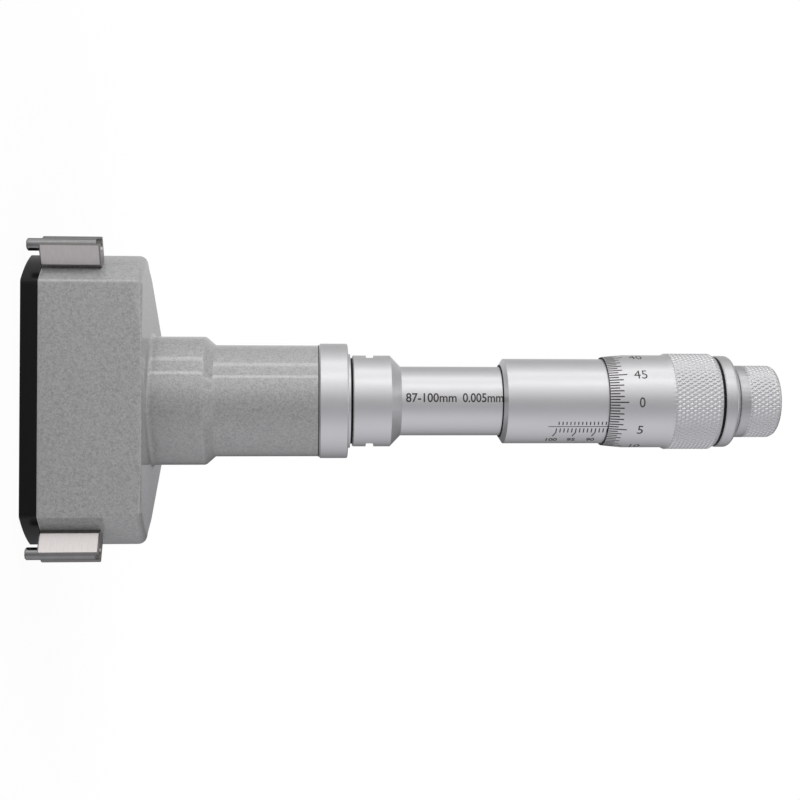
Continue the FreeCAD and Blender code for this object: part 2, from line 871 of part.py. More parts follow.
def ratchet_tooth(sketch, base, height, clearance):
    """Draws one saw tooth of the ratchet, with its steep side towards the driving turn."""
    width = half(s.tooth_width) + clearance
    outline(sketch, [
        (-width, base),
        (-width, base + height + clearance),
        (width, base),
    ])


def make_ratchet_pawl():
    """Makes the toothed disc that slides on the end cap's hub."""
    rear = knob_floor - s.seat_clearance
    front = rear - s.pawl_thickness
    outer = half(s.knob_chamber_diameter) - s.pawl_side_gap
    bore = half(s.hub_flats) + s.running_clearance
    hub = half(s.hub_diameter) + s.running_clearance
    body = turned("ratchet_pawl", [(bore, front), (outer, front), (outer, rear), (bore, rear)])
    sketch = sketch_on(body, "XY_Plane", "pawl_slot_outline", front)
    outline(sketch, [(-bore, -hub), (bore, -hub), (bore, hub), (-bore, hub)])
    extrude(body, "pawl_slot", sketch, s.pawl_thickness, "Pocket", backwards=True)
    sketch = sketch_on(body, "YZ_Plane", "pawl_tooth_outline", s.tooth_inner_radius)
    ratchet_tooth(sketch, rear, s.tooth_height, ZERO)
    tooth = extrude(body, "pawl_tooth", sketch, outer - s.tooth_inner_radius)
    repeat(body, "pawl_teeth", [tooth], RATCHET_TEETH)


def make_ratchet_knob():
    """Makes the ratchet knob with its face teeth inside."""
    outer = half(s.knob_diameter)
    chamber = half(s.knob_chamber_diameter)
    screw_bore = half(s.ratchet_screw_diameter) + s.running_clearance
    recess = half(s.ratchet_screw_head) + s.screw_head_gap
    body = turned("ratchet_knob", [
        (chamber, knob_start),
        (outer - s.small_chamfer, knob_start),
        (outer, knob_start + s.small_chamfer),
        (outer, knob_end),
        (recess, knob_end),
        (recess, screw_seat),
        (screw_bore, screw_seat),
        (screw_bore, knob_floor),
        (chamber, knob_floor),
    ])
    rim = edges_at(body.Tip, knob_end, outer)
    dress(body, "knob_round", body.Tip, rim, s.knob_fillet)
    sketch = sketch_on(body, "YZ_Plane", "knob_tooth_outline", s.tooth_inner_radius - s.pawl_side_gap)
    ratchet_tooth(sketch, knob_floor, s.tooth_height, s.seat_clearance)
    gap = extrude(body, "knob_tooth", sketch, chamber - s.tooth_inner_radius, "Pocket", backwards=True)
    repeat(body, "knob_teeth", [gap], RATCHET_TEETH)


def make_ratchet_screw():
    """Makes the slotted screw that keeps the knob on the spindle."""
    head = half(s.ratchet_screw_head)
    shank = half(s.ratchet_screw_diameter)
    head_end = ratchet_screw_neck + s.ratchet_screw_head_length
    body = turned("ratchet_screw", [
        (ZERO, ratchet_screw_neck - s.ratchet_screw_reach),
        (shank, ratchet_screw_neck - s.ratchet_screw_reach),
        (shank, ratchet_screw_neck),
        (head, ratchet_screw_neck),
        (head, head_end - s.small_chamfer),
        (head - s.small_chamfer, head_end),
        (ZERO, head_end),
    ])
    sketch = sketch_on(body, "XY_Plane", "screw_slot_outline", head_end)
    slot = half(s.screw_slot_width)
    far = head + OVERCUT
    outline(sketch, [(-far, -slot), (far, -slot), (far, slot), (-far, slot)])
    extrude(body, "screw_slot", sketch, s.screw_slot_width, "Pocket")


def coil(label, placement, start, length, diameter, wire, turns):
    """Makes a coil spring along the piece's Z axis, as one wire through many short sections."""
    sections = []
    count = turns * COIL_STEPS
    for step in range(count + 1):
        angle = 2 * math.pi * step / COIL_STEPS
        outward = FreeCAD.Vector(math.cos(angle), math.sin(angle), 0)
        rise = start.value + wire.value / 2 + (length.value - wire.value) * step / count
        centre = outward * (diameter.value / 2) + FreeCAD.Vector(0, 0, rise)
        corners = []
        for corner in range(WIRE_CORNERS + 1):
            around = 2 * math.pi * corner / WIRE_CORNERS
            lift = FreeCAD.Vector(0, 0, math.sin(around))
            corners.append(centre + (outward * math.cos(around) + lift) * (wire.value / 2))
        sections.append(Part.makePolygon(corners))
    spring = doc.addObject("Part::Feature", label)
    spring.Label = label
    spring.Shape = Part.makeLoft(sections, True, True)
    spring.Placement = placement or FreeCAD.Placement()
    subparts.append(spring)


def anvil_angle(index):
    """Gives the direction of one anvil in degrees."""
    return FIRST_ANVIL_ANGLE + 360.0 / ANVILS * index


def anvil_frame(index):
    """Places a body whose X axis is the anvil's direction."""
    turn = FreeCAD.Rotation(FreeCAD.Vector(0, 0, 1), anvil_angle(index))
    return FreeCAD.Placement(FreeCAD.Vector(0, 0, 0), turn)


def stem_frame(index):
    """Places a body whose Z axis is the axis of one anvil's stem."""
    lean = FreeCAD.Rotation(FreeCAD.Vector(0, 1, 0), 90)
    tilt = FreeCAD.Placement(FreeCAD.Vector(0, 0, stem_height.value), lean)
    return anvil_frame(index).multiply(tilt)


def make_guide_bush(index):
    """Makes the bush in which one anvil's stem slides."""
    bore = half(s.stem_diameter) + s.running_clearance
    outer = half(s.guide_bush_diameter) - s.fit_clearance
    end = guide_bush_end - s.seat_clearance
    turned(f"guide_bush_{index + 1}", [
        (bore + s.small_chamfer, s.channel_end),
        (outer, s.channel_end),
        (outer, end),
        (bore, end),
        (bore, s.channel_end + s.small_chamfer),
    ], stem_frame(index))


def make_return_spring(index):
    """Makes the spring that draws one anvil back on to the cone."""
    start = s.shoe_outer_radius + s.seat_clearance
    length = s.channel_end - s.shoe_outer_radius - s.seat_clearance * 2
    label = f"return_spring_{index + 1}"
    coil(label, stem_frame(index), start, length, s.spring_diameter, s.spring_wire, RETURN_SPRING_TURNS)


def make_anvil_piston(index):
    """Makes the wedge shoe that rides on the cone, with its stem and spigot."""
    body = new_body(f"anvil_piston_{index + 1}", anvil_frame(index))
    tip = s.cone_tip_radius + s.sliding_clearance
    shoe_end = s.shoe_start + s.shoe_length
    ramp_low = tip + (s.shoe_start - s.cone_start) * CONE_SLOPE
    ramp_high = tip + (shoe_end - s.cone_start) * CONE_SLOPE
    sketch = sketch_on(body, "XZ_Plane", "shoe_outline")
    outline(sketch, [
        (ramp_low, s.shoe_start),
        (s.shoe_outer_radius, s.shoe_start),
        (s.shoe_outer_radius, shoe_end),
        (ramp_high, shoe_end),
    ])
    extrude(body, "shoe", sketch, s.shoe_width, both_ways=True)
    sketch = sketch_on(body, "YZ_Plane", "stem_outline", s.shoe_outer_radius)
    circle(sketch, ZERO, stem_height, half(s.stem_diameter))
    extrude(body, "stem", sketch, bar_foot - s.shoe_outer_radius)
    sketch = sketch_on(body, "YZ_Plane", "spigot_outline", bar_foot)
    circle(sketch, ZERO, stem_height, half(s.spigot_diameter))
    extrude(body, "spigot", sketch, s.spigot_length)


def make_anvil_bar(index):
    """Makes the steel bar across one stem, grooved for the contact pin."""
    body = new_body(f"anvil_bar_{index + 1}", anvil_frame(index))
    side = half(s.bar_width)
    foot = half(s.bar_foot_width)
    groove = half(s.pin_diameter)
    sketch = sketch_on(body, "XY_Plane", "bar_outline", s.bar_start)
    outline(sketch, [
        (bar_foot, -foot),
        (bar_foot + s.bar_foot_height, -side),
        (bar_face, -side),
        (bar_face, side),
        (bar_foot + s.bar_foot_height, side),
        (bar_foot, foot),
    ])
    block = extrude(body, "bar_block", sketch, s.bar_length)
    ends = edge_names(block, lambda a, b: (
        abs(a.z - b.z) < NEAR and abs(a.y - b.y) < NEAR and abs(abs(a.y) - side.value) < NEAR
    ))
    chamfered = dress(body, "bar_ends", block, ends, s.bar_chamfer, "Chamfer")
    nose = edge_names(chamfered, lambda a, b: all(
        abs(point.z - s.bar_start.value) < NEAR and abs(point.x - bar_face.value) < NEAR for point in (a, b)
    ))
    dress(body, "bar_nose", chamfered, nose, s.bar_nose_fillet)
    sketch = sketch_on(body, "XY_Plane", "groove_round", s.bar_start)
    circle(sketch, pin_radius, ZERO, groove)
    extrude(body, "groove_floor", sketch, s.bar_length, "Pocket", backwards=True)
    sketch = sketch_on(body, "XY_Plane", "groove_outline", s.bar_start)
    outline(sketch, [
        (pin_radius, -groove),
        (bar_face + OVERCUT, -groove),
        (bar_face + OVERCUT, groove),
        (pin_radius, groove),
    ])
    extrude(body, "groove", sketch, s.bar_length, "Pocket", backwards=True)
    sketch = sketch_on(body, "YZ_Plane", "spigot_hole_outline", bar_foot)
    circle(sketch, ZERO, stem_height, half(s.spigot_diameter) + s.fit_clearance)
    depth = s.spigot_length + s.seat_clearance
    extrude(body, "spigot_hole", sketch, depth, "Pocket", backwards=True)


def make_contact_pin(index):
    """Makes the carbide pin that touches the bore."""
    place = anvil_frame(index)
    place.Base = place.Rotation.multVec(FreeCAD.Vector(pin_radius.value, 0, 0))
    radius = half(s.pin_diameter)
    end = s.pin_start + s.pin_length
    turned(f"contact_pin_{index + 1}", [
        (ZERO, s.pin_start),
        (radius - s.pin_chamfer, s.pin_start),
        (radius, s.pin_start + s.pin_chamfer),
        (radius, end),
        (ZERO, end),
    ], place)


make_head_body()
make_front_cover()
make_cover_screws()
make_neck_bush()
make_neck_ring()
make_coupling_ring()
make_barrel_tube()
make_adjusting_nut()
make_graduated_sleeve()
make_cone()
make_cone_screw()
make_push_rod()
make_thrust_ball()
make_spindle()
make_thimble()
make_cap_seal()
make_end_cap()
make_ratchet_pawl()
make_ratchet_knob()
make_ratchet_screw()
coil(
    "ratchet_spring",
    None,
    cap_end + s.seat_clearance,
    knob_floor - s.pawl_thickness - cap_end - s.seat_clearance * 3,
    s.ratchet_spring_diameter,
    s.ratchet_spring_wire,
    RATCHET_SPRING_TURNS,
)
for anvil in range(ANVILS):
    make_guide_bush(anvil)
    make_return_spring(anvil)
    make_anvil_piston(anvil)
    make_anvil_bar(anvil)
    make_contact_pin(anvil)
doc.recompute()

os.makedirs("parts", exist_ok=True)
for item in doc.Objects:
    if "Invalid" in item.State or "Error" in item.State:
        raise RuntimeError(f"{item.Label} failed: {item.State}")
for body in subparts:
    if body.Shape.isNull() or not body.Shape.isValid():
        raise RuntimeError(f"{body.Label} has no valid shape")
    body.Shape.exportStep(f"parts/{body.Label}.step")
    print(body.Label, round(body.Shape.Volume, 1), len(body.Shape.Solids), body.Shape.BoundBox)
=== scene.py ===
import math

import bmesh
import bpy
from mathutils import Matrix, Vector


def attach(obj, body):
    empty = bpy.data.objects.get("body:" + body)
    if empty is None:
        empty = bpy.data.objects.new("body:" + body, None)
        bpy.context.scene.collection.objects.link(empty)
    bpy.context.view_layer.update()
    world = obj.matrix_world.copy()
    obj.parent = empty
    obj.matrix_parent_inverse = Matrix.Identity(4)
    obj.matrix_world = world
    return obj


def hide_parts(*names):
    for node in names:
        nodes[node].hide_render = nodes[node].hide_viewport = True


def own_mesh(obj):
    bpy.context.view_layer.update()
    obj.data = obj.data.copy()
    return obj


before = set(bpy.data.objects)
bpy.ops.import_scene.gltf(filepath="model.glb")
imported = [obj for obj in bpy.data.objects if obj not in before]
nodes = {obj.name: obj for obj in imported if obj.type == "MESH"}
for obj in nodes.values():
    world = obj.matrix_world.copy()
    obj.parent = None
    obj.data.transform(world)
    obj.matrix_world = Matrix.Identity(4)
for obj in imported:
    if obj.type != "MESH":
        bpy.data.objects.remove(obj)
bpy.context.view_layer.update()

MM = 0.001
BODY = "head_and_tube"
THIMBLE_BODY = "spindle_and_thimble"

# Outsides that several pieces share, in millimetres: radii, heights along Z and lengths
SLEEVE_RADIUS = 10.86
TUBE_RADIUS = 8.8
THIMBLE_EDGE_RADIUS = 11.4
THIMBLE_RADIUS = 11.925
THIMBLE_EDGE = 142.44
TAPER_LENGTH = 5.225
PLAIN_LENGTH = 10.33
GRIP_END = 170.265
GRIP_RADIUS = 12.37

# Ways out of anvils 1, 2 and 3 in degrees round Z, counted from +X
ANVIL_ANGLES = (210, 330, 90)


# ---------------------------------------------------------------- materials

def new_material(name, color, roughness, metallic=0.0):
    material = bpy.data.materials.new(name)
    material.use_nodes = True
    shader = material.node_tree.nodes["Principled BSDF"]
    shader.inputs["Base Color"].default_value = (*color, 1.0)
    shader.inputs["Roughness"].default_value = roughness
    shader.inputs["Metallic"].default_value = metallic
    return material, material.node_tree, shader


def add_node(tree, kind, **values):
    node = tree.nodes.new(kind)
    for key, value in values.items():
        setattr(node, key, value)
    return node


def object_coordinates(tree, stretch=(1.0, 1.0, 1.0)):
    coordinates = add_node(tree, "ShaderNodeTexCoord")
    mapping = add_node(tree, "ShaderNodeMapping")
    mapping.inputs["Scale"].default_value = stretch
    tree.links.new(coordinates.outputs["Object"], mapping.inputs["Vector"])
    return mapping.outputs["Vector"]


def noise(tree, vector, scale, detail=2.0, distortion=0.0):
    node = add_node(tree, "ShaderNodeTexNoise")
    node.inputs["Scale"].default_value = scale
    node.inputs["Detail"].default_value = detail
    node.inputs["Distortion"].default_value = distortion
    tree.links.new(vector, node.inputs["Vector"])
    return node.outputs["Fac"]


def ramp(tree, factor, stops):
    node = add_node(tree, "ShaderNodeValToRGB")
    elements = node.color_ramp.elements
    while len(elements) < len(stops):
        elements.new(0.5)
    for element, (position, color) in zip(elements, stops):
        element.position = position
        element.color = (*color, 1.0)
    tree.links.new(factor, node.inputs["Fac"])
    return node.outputs["Color"]


def map_range(tree, value, to_range, from_range=(0.0, 1.0)):
    """Carries a value from one range over to another."""
    node = add_node(tree, "ShaderNodeMapRange")
    node.inputs["From Min"].default_value, node.inputs["From Max"].default_value = from_range
    node.inputs["To Min"].default_value, node.inputs["To Max"].default_value = to_range
    tree.links.new(value, node.inputs["Value"])
    return node.outputs["Result"]


def math_node(tree, operation, *values):
    """One step of arithmetic on sockets or plain numbers."""
    node = add_node(tree, "ShaderNodeMath", operation=operation)
    for socket, value in zip(node.inputs, values):
        if isinstance(value, float):
            socket.default_value = value
        else:
            tree.links.new(value, socket)
    return node.outputs[0]


def bump(tree, shader, height, strength, distance):
    node = add_node(tree, "ShaderNodeBump")
    node.inputs["Strength"].default_value = strength
    node.inputs["Distance"].default_value = distance
    tree.links.new(height, node.inputs["Height"])
    tree.links.new(node.outputs["Normal"], shader.inputs["Normal"])


def hammered_paint():
    material, tree, shader = new_material("hammered_paint", (0.37, 0.37, 0.37), 0.45, 0.1)
    vector = object_coordinates(tree)
    worms = noise(tree, vector, scale=1500.0, detail=1.5, distortion=1.4)
    color = ramp(tree, worms, [
        (0.34, (0.26, 0.264, 0.262)),
        (0.5, (0.328, 0.33, 0.328)),
        (0.64, (0.373, 0.373, 0.371)),
    ])
    tree.links.new(color, shader.inputs["Base Color"])
    shader.inputs["Coat Weight"].default_value = 1.0
    shader.inputs["Coat IOR"].default_value = 2.0
    shader.inputs["Coat Roughness"].default_value = 0.05
    pits = noise(tree, vector, scale=1100.0, detail=1.5, distortion=0.8)
    bump(tree, shader, pits, strength=0.5, distance=0.00012)
    return material


def satin_chrome(name, shade):
    color = (shade, shade * 0.995, shade * 1.007)
    material, tree, shader = new_material(name, color, 0.37, 1.0)
    vector = object_coordinates(tree)
    grain = noise(tree, vector, scale=9000.0)
    cloud = noise(tree, vector, scale=150.0)
    tree.links.new(map_range(tree, cloud, (0.34, 0.41)), shader.inputs["Roughness"])
    bump(tree, shader, grain, strength=0.06, distance=0.00002)
    return material


def ground_steel():
    material, tree, shader = new_material("ground_steel", (0.62, 0.59, 0.57), 0.3, 1.0)
    vector = object_coordinates(tree, stretch=(1.0, 1.0, 14.0))
    lines = noise(tree, vector, scale=500.0, detail=3.0)
    tree.links.new(map_range(tree, lines, (0.24, 0.36)), shader.inputs["Roughness"])
    color = ramp(tree, lines, [(0.3, (0.52, 0.49, 0.475)), (0.7, (0.66, 0.63, 0.615))])
    tree.links.new(color, shader.inputs["Base Color"])
    bump(tree, shader, lines, strength=0.05, distance=0.00002)
    return material


def anvil_steel():
    """Hardened bars with painted shade: the sides that lie square to the anvils keep the bright
    steel, and every other face takes a darker colour that stands in for its shade and dark
    reflections.
    """
    material, tree, shader = new_material("anvil_steel", (0.6, 0.57, 0.56), 0.3, 1.0)
    vector = object_coordinates(tree, stretch=(1.0, 1.0, 10.0))
    lines = noise(tree, vector, scale=450.0, detail=3.0)
    coordinates = add_node(tree, "ShaderNodeTexCoord")
    squareness = None
    for angle in ANVIL_ANGLES:
        turn = math.radians(angle)
        dot = add_node(tree, "ShaderNodeVectorMath", operation="DOT_PRODUCT")
        dot.inputs[1].default_value = (-math.sin(turn), math.cos(turn), 0.0)
        tree.links.new(coordinates.outputs["Normal"], dot.inputs[0])
        size = math_node(tree, "ABSOLUTE", dot.outputs["Value"])
        squareness = size if squareness is None else math_node(tree, "MAXIMUM", squareness, size)
    # Painted shade: every face but the sides square to the anvils gets the dark colour below
    side = math_node(tree, "GREATER_THAN", squareness, 0.95)
    dark = ramp(tree, lines, [(0.3, (0.29, 0.28, 0.272)), (0.7, (0.36, 0.347, 0.336))])
    bright = ramp(tree, lines, [(0.3, (0.57, 0.54, 0.528)), (0.7, (0.635, 0.604, 0.592))])
    mix = add_node(tree, "ShaderNodeMix", data_type="RGBA")
    first_color, second_color, mixed_color = mix.inputs[6], mix.inputs[7], mix.outputs[2]
    tree.links.new(side, mix.inputs["Factor"])
    tree.links.new(dark, first_color)
    tree.links.new(bright, second_color)
    tree.links.new(mixed_color, shader.inputs["Base Color"])
    tree.links.new(map_range(tree, lines, (0.26, 0.36)), shader.inputs["Roughness"])
    return material


def plain_metal(name, color, roughness):
    material, tree, shader = new_material(name, color, roughness, 1.0)
    spots = noise(tree, object_coordinates(tree), scale=600.0, detail=3.0)
    uneven = map_range(tree, spots, (roughness - 0.06, roughness + 0.08))
    tree.links.new(uneven, shader.inputs["Roughness"])
    dark = tuple(part * 0.86 for part in color)
    tree.links.new(ramp(tree, spots, [(0.3, dark), (0.7, color)]), shader.inputs["Base Color"])
    return material


def black_coat():
    material, tree, shader = new_material("black_coat", (0.004, 0.004, 0.0045), 0.3)
    shader.inputs["Specular IOR Level"].default_value = 0.2
    grain = noise(tree, object_coordinates(tree), scale=2500.0)
    tree.links.new(map_range(tree, grain, (0.17, 0.26)), shader.inputs["Roughness"])
    bump(tree, shader, grain, strength=0.04, distance=0.00002)
    return material


# The black of the cap's seal, also used as painted shade in the gaps of the joints
def black_seal():
    material, tree, shader = new_material("black_seal", (0.003, 0.003, 0.0033), 0.5)
    shader.inputs["Specular IOR Level"].default_value = 0.2
    spots = noise(tree, object_coordinates(tree), scale=1800.0)
    tree.links.new(map_range(tree, spots, (0.42, 0.6)), shader.inputs["Roughness"])
    return material


def ink():
    material, tree, shader = new_material("ink", (0.03, 0.028, 0.026), 0.5)
    wear = noise(tree, object_coordinates(tree), scale=2600.0, detail=3.0)
    color = ramp(tree, wear, [(0.35, (0.018, 0.016, 0.015)), (0.75, (0.055, 0.05, 0.046))])
    tree.links.new(color, shader.inputs["Base Color"])
    return material


PAINT = hammered_paint()
CHROME = satin_chrome("satin_chrome", 0.75)
CAP_CHROME = satin_chrome("cap_chrome", 0.69)
# Painted shade: a darker chrome for the knob's plain band, standing in for the shade next to the
# cap
BAND_SHADE_CHROME = satin_chrome("band_shade_chrome", 0.58)
STEEL = ground_steel()
ANVIL_STEEL = anvil_steel()
CARBIDE = plain_metal("carbide", (0.30, 0.30, 0.30), 0.12)
# Painted shade: the pistons take a grey close to the paint in shade, so that where they show under
# the bars they look like the shade there
SHADE_GREY_STEEL = plain_metal("shade_grey_steel", (0.30, 0.29, 0.285), 0.38)
BRONZE = plain_metal("bush_bronze", (0.62, 0.44, 0.22), 0.35)
SPRING = plain_metal("spring_steel", (0.45, 0.45, 0.47), 0.28)
DARK_SCREW = plain_metal("dark_screw", (0.05, 0.05, 0.055), 0.38)
COVER = black_coat()
SEAL_AND_GAP_SHADE = black_seal()
INK = ink()

FINISHES = {
    "head_body": PAINT,
    "front_cover": COVER,
    "cover_screws": DARK_SCREW,
    "neck_bush": BRONZE,
    "neck_ring": CHROME,
    "coupling_ring": CHROME,
    "barrel_tube": CHROME,
    "adjusting_nut": STEEL,
    "graduated_sleeve": CHROME,
    "thimble": CHROME,
    "ratchet_knob": CHROME,
    "expanding_cone": STEEL,
    "cone_screw": DARK_SCREW,
    "push_rod": STEEL,
    "thrust_ball": SPRING,
    "spindle": STEEL,
    "cap_seal": SEAL_AND_GAP_SHADE,
    "end_cap": CAP_CHROME,
    "ratchet_pawl": STEEL,
    "ratchet_screw": STEEL,
    "ratchet_spring": SPRING,
}
for number in (1, 2, 3):
    FINISHES[f"guide_bush_{number}"] = BRONZE
    FINISHES[f"return_spring_{number}"] = SPRING
    FINISHES[f"anvil_piston_{number}"] = SHADE_GREY_STEEL
    FINISHES[f"anvil_bar_{number}"] = ANVIL_STEEL
    FINISHES[f"contact_pin_{number}"] = CARBIDE

for name, material in FINISHES.items():
    node = nodes[name]
    if node.material_slots:
        for item in node.material_slots:
            item.material = material
    else:
        node.data.materials.append(material)


# ---------------------------------------------------------------- how pieces are made

def spread(start, end, count):
    return [start + (end - start) * i / count for i in range(count + 1)]


def on_cylinder(radius, angle, z):
    """A point in metres; its angle counts from the reader's side, -Y, towards anvil 1."""
    return Vector((-radius * math.sin(angle), -radius * math.cos(angle), z)) * MM


def ring_faces(rings, around):
    """The faces between rings of equally many points, the last ring joined to the first."""
    faces = []
    for row in range(rings):
        below, above = row * around, (row + 1) % rings * around
        for step in range(around):
            after = (step + 1) % around
            faces.append((below + step, below + after, above + after, above + step))
    return faces


def face_outwards(mesh, closed):
    """Turns every face of a closed body, or of marks on a turned face, to look outwards."""
    shape = bmesh.new()
    shape.from_mesh(mesh)
    if closed:
        bmesh.ops.recalc_face_normals(shape, faces=shape.faces[:])
    else:
        shape.normal_update()
        for face in shape.faces:
            middle = face.calc_center_median()
            if face.normal.x * middle.x + face.normal.y * middle.y < 0:
                face.normal_flip()
    shape.to_mesh(mesh)
    shape.free()


def add_object(name, data):
    holder = bpy.data.objects.new(name, data)
    bpy.context.scene.collection.objects.link(holder)
    return holder


def make_piece(name, vertices, faces, material, body, smooth=True, closed=True):
    mesh = bpy.data.meshes.new(name)
    mesh.from_pydata(vertices, [], faces)
    mesh.update()
    face_outwards(mesh, closed)
    piece = add_object(name, mesh)
    mesh.materials.append(material)
    if smooth:
        mesh.shade_smooth()
    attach(piece, body)
    return piece


def copied_mesh(node, name, material):
    """A copy of a solid's mesh, to be changed for a piece that takes its place."""
    mesh = nodes[node].data.copy()
    mesh.name = name
    mesh.materials.clear()
    mesh.materials.append(material)
    return mesh


# ---------------------------------------------------------------- scales and numbers

# The ink's height over the metal, the longest straight step of a line round the metal, and
# the height of the bands that words are cut in
INK_LIFT = 0.012
LINE_STEP = 0.8
BAND = 0.3


def plain_radius(radius):
    return lambda z: radius


def thimble_radius(z):
    """The thimble's outside at a height: its taper, then its plain band."""
    share = min(max((z - THIMBLE_EDGE) / TAPER_LENGTH, 0.0), 1.0)
    return THIMBLE_EDGE_RADIUS + (THIMBLE_RADIUS - THIMBLE_EDGE_RADIUS) * share


def cut_in_bands(mesh, low, high, count):
    """Cuts flat words into level bands, so that they can follow a curved face."""
    shape = bmesh.new()
    shape.from_mesh(mesh)
    for step in range(1, count):
        level = low + (high - low) * step / count
        bmesh.ops.bisect_plane(
            shape,
            geom=shape.verts[:] + shape.edges[:] + shape.faces[:],
            plane_co=(0, level, 0),
            plane_no=(0, 1, 0),
        )
    shape.to_mesh(mesh)
    shape.free()


def flat_words(words, weight):
    """The mesh of some words, lying flat; weight widens their strokes."""
    curve = bpy.data.curves.new("words", "FONT")
    curve.body = words
    curve.size = 1.0
    curve.align_x = "CENTER"
    curve.offset = weight
    curve.resolution_u = 6
    holder = add_object("words", curve)
    bpy.context.view_layer.update()
    graph = bpy.context.evaluated_depsgraph_get()
    mesh = bpy.data.meshes.new_from_object(holder.evaluated_get(graph))
    bpy.data.objects.remove(holder)
    return mesh


class Ink:
    """Gathers thin filled marks that follow a turned face."""

    def __init__(self, radius_at):
        self.radius_at = radius_at
        self.vertices = []
        self.faces = []

    def point(self, angle, z):
        self.vertices.append(on_cylinder(self.radius_at(z) + INK_LIFT, angle, z))
        return len(self.vertices) - 1

    def line(self, start, end, width):
        """A straight mark between two places, each an angle in degrees and a height."""
        (a0, z0), (a1, z1) = start, end
        a0, a1 = math.radians(a0), math.radians(a1)
        radius = self.radius_at((z0 + z1) / 2)
        run = Vector(((a1 - a0) * radius, z1 - z0))
        side = Vector((-run.y, run.x)).normalized() * (width / 2)
        pieces = max(1, math.ceil(run.length / LINE_STEP))
        rows = []
        for step in range(pieces + 1):
            share = step / pieces
            angle = a0 + (a1 - a0) * share
            z = z0 + (z1 - z0) * share
            rows.append([
                self.point(angle + sign * side.x / radius, z + sign * side.y)
                for sign in (-1, 1)
            ])
        for low, high in zip(rows, rows[1:]):
            self.faces.append((low[0], low[1], high[1], high[0]))

    def text(self, words, angle, z, height, width, weight):
        """Words that read along Z, centred on a place and stretched to a size."""
        mesh = flat_words(words, weight)
        xs = [vertex.co.x for vertex in mesh.vertices]
        ys = [vertex.co.y for vertex in mesh.vertices]
        cut_in_bands(mesh, min(ys), max(ys), math.ceil(height / BAND))
        scale_x = width / (max(xs) - min(xs))
        scale_y = height / (max(ys) - min(ys))
        middle_x = (max(xs) + min(xs)) / 2
        middle_y = (max(ys) + min(ys)) / 2
        radius = self.radius_at(z)
        first = len(self.vertices)
        for vertex in mesh.vertices:
            self.point(
                math.radians(angle) + (vertex.co.y - middle_y) * scale_y / radius,
                z + (vertex.co.x - middle_x) * scale_x,
            )
        for face in mesh.polygons:
            self.faces.append(tuple(first + i for i in face.vertices))
        bpy.data.meshes.remove(mesh)

    def piece(self, name, body):
        make_piece(
            name, self.vertices, self.faces, INK, body, smooth=False, closed=False
        )


# Angles of the marks count in degrees as in on_cylinder
DATUM_ANGLE, DATUM_START, DATUM_END, DATUM_WIDTH = -37.27, 127.15, 149.6, 0.19
FIRST_MARK, LAST_MARK, FIRST_MARK_Z = 87, 100, 142.28
# Start and end of the marks, counted from the datum line; every fifth goes on and leans
MARK_START, MARK_END, LONG_MARK_END, LONG_MARK_LEAN = 3.0, 10.6, 18.6, 0.66
HALF_START, HALF_END, HALF_STEP = 2.7, 7.6, 0.5
MARK_WIDTH, LONG_MARK_WIDTH = 0.29, 0.3
MARK_TEXT_ANGLE, MARK_TEXT_HEIGHT, MARK_TEXT_WEIGHT = 27.9, 1.7, 0.022
TWO_FIGURES, THREE_FIGURES = 2.1, 2.9


def sleeve_scale():
    """The datum line, whole millimetres on one side of it and halves on the other."""
    scale = Ink(plain_radius(SLEEVE_RADIUS))
    scale.line((DATUM_ANGLE, DATUM_START), (DATUM_ANGLE, DATUM_END), DATUM_WIDTH)
    for mark in range(FIRST_MARK, LAST_MARK + 1):
        z = FIRST_MARK_Z - (mark - FIRST_MARK)
        scale.line((DATUM_ANGLE - MARK_START, z), (DATUM_ANGLE - MARK_END, z), MARK_WIDTH)
        if mark > FIRST_MARK:
            half = z + HALF_STEP
            scale.line((DATUM_ANGLE + HALF_START, half), (DATUM_ANGLE + HALF_END, half), MARK_WIDTH)
        if mark % 5 == 0:
            foot = z - LONG_MARK_LEAN
            scale.line(
                (DATUM_ANGLE - MARK_END, z), (DATUM_ANGLE - LONG_MARK_END, foot), LONG_MARK_WIDTH
            )
            width = THREE_FIGURES if mark == LAST_MARK else TWO_FIGURES
            angle = DATUM_ANGLE - MARK_TEXT_ANGLE
            scale.text(str(mark), angle, foot, MARK_TEXT_HEIGHT, width, MARK_TEXT_WEIGHT)
    scale.piece("sleeve_scale", BODY)


ZERO_ANGLE, UNIT_ANGLE, UNITS = -2.6, 7.2, 50
NUMBER_REACH, UNIT_REACH, HALF_REACH, DIVISION_WIDTH = 4.57, 3.48, 2.4, 0.31
# The gap between the thimble's edge and its divisions
EDGE_GAP = 0.05
NUMBER_Z, NUMBER_HEIGHT = 150.4, 2.55
NUMBER_WEIGHT, FOUR_WEIGHT = 0.005, -0.003


def number_width(units):
    """The width of a number on the thimble: narrower for one figure and for the 1 of 10 and 15."""
    if units < 10:
        return 1.45
    return 2.6 if units < 20 else 3.35


def thimble_scale():
    """Whole and half units round the thimble's edge, numbered at every fifth."""
    dial = Ink(thimble_radius)
    for step in range(2 * UNITS):
        angle = ZERO_ANGLE - step * UNIT_ANGLE / 2
        if step % 10 == 0:
            reach = NUMBER_REACH
            words = str(step // 2)
            # A wider stroke would fill the eye of the 4
            weight = FOUR_WEIGHT if "4" in words else NUMBER_WEIGHT
            dial.text(words, angle, NUMBER_Z, NUMBER_HEIGHT, number_width(step // 2), weight)
        elif step % 2 == 0:
            reach = UNIT_REACH
        else:
            reach = HALF_REACH
        dial.line((angle, THIMBLE_EDGE + EDGE_GAP), (angle, THIMBLE_EDGE + reach), DIVISION_WIDTH)
    dial.piece("thimble_scale", THIMBLE_BODY)


MARKING_ANGLE, MARKING_HEIGHT, MARKING_WEIGHT = 4.3, 2.3, 0.014


